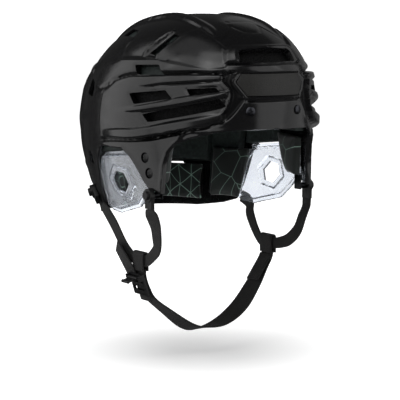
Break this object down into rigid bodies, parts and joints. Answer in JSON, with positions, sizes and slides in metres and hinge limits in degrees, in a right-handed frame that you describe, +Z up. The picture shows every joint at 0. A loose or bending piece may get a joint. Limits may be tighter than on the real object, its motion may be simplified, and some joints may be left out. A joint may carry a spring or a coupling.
{
  "type": "ice hockey helmet",
  "caption": "Hard shell head guard for ice hockey: vented and ribbed shell, foam liner with comfort pads, clear ear guards, fit dial with nape cradle, chin strap harness on press studs.",
  "frame": {"origin": "mid plane of the shell, level with its brow edge, where the wearer's head sits", "axes": "+Z up to the crown, -Y to the face, -X to the wearer's right"},
  "size_m": [0.2068, 0.2869, 0.318],
  "materials": {
    "shell": "glossy moulded black",
    "plate": "fine textured dark grey",
    "screen": "black mesh",
    "guard": "clear polycarbonate",
    "screw": "worn grey coated screw",
    "lobe_screw": "black coated screw",
    "steel": "plain steel",
    "webbing": "woven polyester webbing",
    "hard_black": "moulded nylon",
    "foam": "closed cell foam, dark green grey",
    "pad": "soft comfort foam with a light line net"
  },
  "bodies": {
    "helmet": {"shell": "shell", "badge_plate": "plate", "vent_screen_right": "screen", "vent_screen_left": "screen", "front_screen": "screen", "liner_front": "foam", "liner_crown": "foam", "liner_side_right": "foam", "liner_side_left": "foam", "liner_rear": "foam", "forehead_pad": "pad", "temple_pad_right": "pad", "temple_pad_left": "pad", "side_pad_right": "pad", "side_pad_left": "pad", "rear_pad_right": "pad", "rear_pad_left": "pad", "crown_pad": "pad", "ear_guard_right": "guard", "ear_guard_left": "guard", "brow_screws": "screw", "brow_nuts": "steel", "lobe_screws_right": "lobe_screw", "lobe_screws_left": "lobe_screw", "lobe_nuts": "steel", "front_stud_right": "steel", "front_stud_left": "steel", "rear_stud_right": "steel", "rear_stud_left": "steel", "side_strap_right": "webbing", "side_strap_left": "webbing", "dial_housing": "hard_black"},
    "dial": {"fit_dial": "hard_black"},
    "cradle": {"nape_cradle": "hard_black", "nape_pad": "pad"},
    "chin": {"chin_strap": "webbing", "strap_loop_right": "webbing", "strap_loop_left": "webbing", "buckle_frame": "hard_black", "buckle_bar": "webbing", "strap_tail": "webbing"},
    "lever": {"buckle_lever": "hard_black"},
    "front_snap_right": {"front_tab_right": "hard_black"},
    "front_snap_left": {"front_tab_left": "hard_black"},
    "rear_snap_right": {"rear_tab_right": "hard_black"},
    "rear_snap_left": {"rear_tab_left": "hard_black"}
  },
  "joints": [
    {"name": "dial_turn", "type": "hinge", "parent": "helmet", "child": "dial", "pos_m": [0, 0.12792, -0.066], "axis": [0, 1, 0], "range_deg": [0, 360]},
    {"name": "cradle_slide", "type": "slide", "parent": "helmet", "child": "cradle", "axis": [0, -1, 0], "range_m": [0, 0.008]},
    {"name": "chin_swing", "type": "hinge", "parent": "helmet", "child": "chin", "pos_m": [0, -0.024, -0.1305], "axis": [0.9989, 0, 0.0466], "range_deg": [-7, 7]},
    {"name": "lever_lift", "type": "hinge", "parent": "chin", "child": "lever", "pos_m": [-0.08349, -0.024, -0.15023], "axis": [0, 1, 0], "range_deg": [0, 35]},
    {"name": "front_snap_right_pull", "type": "slide", "parent": "helmet", "child": "front_snap_right", "axis": [-1, 0, 0], "range_m": [0, 0.004]},
    {"name": "front_snap_left_pull", "type": "slide", "parent": "helmet", "child": "front_snap_left", "axis": [1, 0, 0], "range_m": [0, 0.004]},
    {"name": "rear_snap_right_pull", "type": "slide", "parent": "helmet", "child": "rear_snap_right", "axis": [-0.9082, 0.3193, -0.2706], "range_m": [0, 0.004]},
    {"name": "rear_snap_left_pull", "type": "slide", "parent": "helmet", "child": "rear_snap_left", "axis": [0.9082, 0.3193, -0.2706], "range_m": [0, 0.004]}
  ],
  "couplings": [
    {"joint": "cradle_slide", "follows": "dial_turn", "m_per_rad": 0.0012732}
  ]
}
